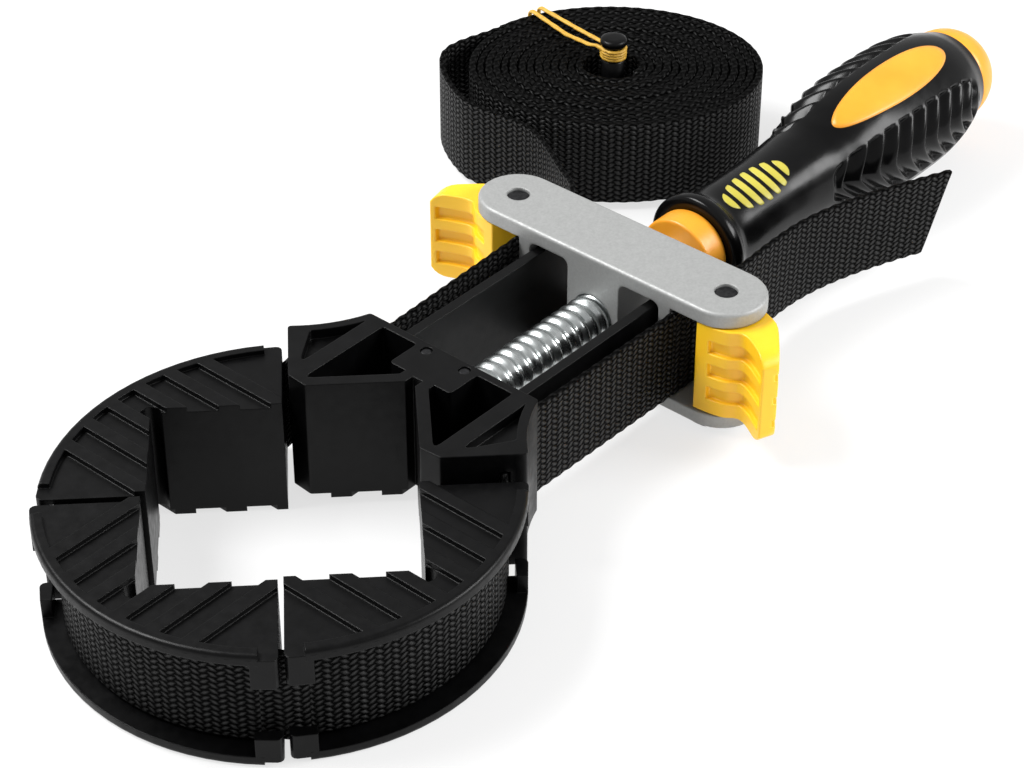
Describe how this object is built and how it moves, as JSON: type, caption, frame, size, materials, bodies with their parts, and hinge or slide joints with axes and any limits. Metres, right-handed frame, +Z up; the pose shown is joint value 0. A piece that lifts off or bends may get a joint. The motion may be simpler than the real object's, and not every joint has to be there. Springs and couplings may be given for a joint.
{
  "type": "woven-band frame clamp",
  "caption": "Band clamp for frames: V-jaw head on rails, screw handle, crosshead with cam levers, loose corner jaws and a woven band.",
  "frame": {"origin": "centre of the flat underside of the crosshead's bottom plate, under the screw's axis", "axes": "+X along the screw from the ring of jaws to the handle, +Y to the left, +Z up; it lies on the floor at z = -2.2 mm"},
  "size_m": [0.3292, 0.1628, 0.0376],
  "materials": {
    "nylon_black": "matt moulded",
    "cast_aluminium": "satin, as cast",
    "steel_dark": "blackened",
    "zinc_screw": "zinc plated",
    "yellow_plastic": "satin moulded",
    "soft_grip": "matt",
    "webbing_black": "matt woven",
    "elastic_yellow": "matt"
  },
  "bodies": {
    "head": {"head_frame": "nylon_black", "neck_pin_left": "steel_dark", "neck_pin_right": "steel_dark", "band_channel_left": "webbing_black", "band_channel_right": "webbing_black", "band_run_left": "webbing_black", "band_run_right": "webbing_black", "band_gap_head_left": "webbing_black"},
    "screw_and_handle": {"screw": "zinc_screw", "handle_core": "yellow_plastic", "handle_grip": "soft_grip"},
    "crosshead": {"crosshead": "cast_aluminium", "pivot_pin_left": "steel_dark", "pivot_pin_right": "steel_dark", "band_tail": "webbing_black", "band_lead": "webbing_black", "band_coil": "webbing_black", "coil_peg": "nylon_black", "coil_elastic": "elastic_yellow"},
    "lever_left": {"lever_left": "yellow_plastic"},
    "lever_right": {"lever_right": "yellow_plastic"},
    "jaw_left": {"corner_jaw_left": "nylon_black", "band_arc_left": "webbing_black", "band_gap_front_left": "webbing_black"},
    "jaw_front": {"corner_jaw_front": "nylon_black", "band_arc_front": "webbing_black", "band_gap_front_right": "webbing_black"},
    "jaw_right": {"corner_jaw_right": "nylon_black"},
    "band_right": {"band_arc_right": "webbing_black", "band_gap_head_right": "webbing_black"}
  },
  "joints": [
    {"name": "handle_turn", "type": "hinge", "parent": "head", "child": "screw_and_handle", "pos_m": [0, 0, 0.0169], "axis": [1, 0, 0], "range_deg": [0, 4321]},
    {"name": "crosshead_slide", "type": "slide", "parent": "head", "child": "crosshead", "axis": [-1, 0, 0], "range_m": [0, 0.042], "deforming": ["band_run_left", "band_run_right"]},
    {"name": "jaw_left_slide", "type": "slide", "parent": "head", "child": "jaw_left", "axis": [-0.7071, 0.7071, 0], "range_m": [0, 0.02101], "deforming": ["band_gap_head_left"]},
    {"name": "jaw_front_slide", "type": "slide", "parent": "jaw_left", "child": "jaw_front", "axis": [-0.7071, -0.7071, 0], "range_m": [0, 0.02101], "deforming": ["band_gap_front_left"]},
    {"name": "jaw_right_slide", "type": "slide", "parent": "jaw_front", "child": "jaw_right", "axis": [0.7071, -0.7071, 0], "range_m": [0, 0.02101], "deforming": ["band_gap_front_right"]},
    {"name": "band_right_slide", "type": "slide", "parent": "head", "child": "band_right", "axis": [-0.7071, -0.7071, 0], "range_m": [0, 0.02101], "deforming": ["band_gap_head_right"]},
    {"name": "lever_left_swing", "type": "hinge", "parent": "crosshead", "child": "lever_left", "pos_m": [0, 0.0326, 0.0169], "axis": [0, 0, 1], "range_deg": [0, 30], "stiffness_Nm_per_rad": 0.02, "springref_deg": -28.65},
    {"name": "lever_right_swing", "type": "hinge", "parent": "crosshead", "child": "lever_right", "pos_m": [0, -0.0326, 0.0169], "axis": [0, 0, 1], "range_deg": [-22, 0], "stiffness_Nm_per_rad": 0.02, "springref_deg": 28.65}
  ],
  "couplings": [
    {"joint": "handle_turn", "follows": "crosshead_slide", "rad_per_m": 1795.2},
    {"joint": "jaw_left_slide", "follows": "crosshead_slide", "ratio": 0.5},
    {"joint": "jaw_front_slide", "follows": "crosshead_slide", "ratio": 0.5},
    {"joint": "jaw_right_slide", "follows": "crosshead_slide", "ratio": 0.5},
    {"joint": "band_right_slide", "follows": "crosshead_slide", "ratio": 0.5}
  ]
}
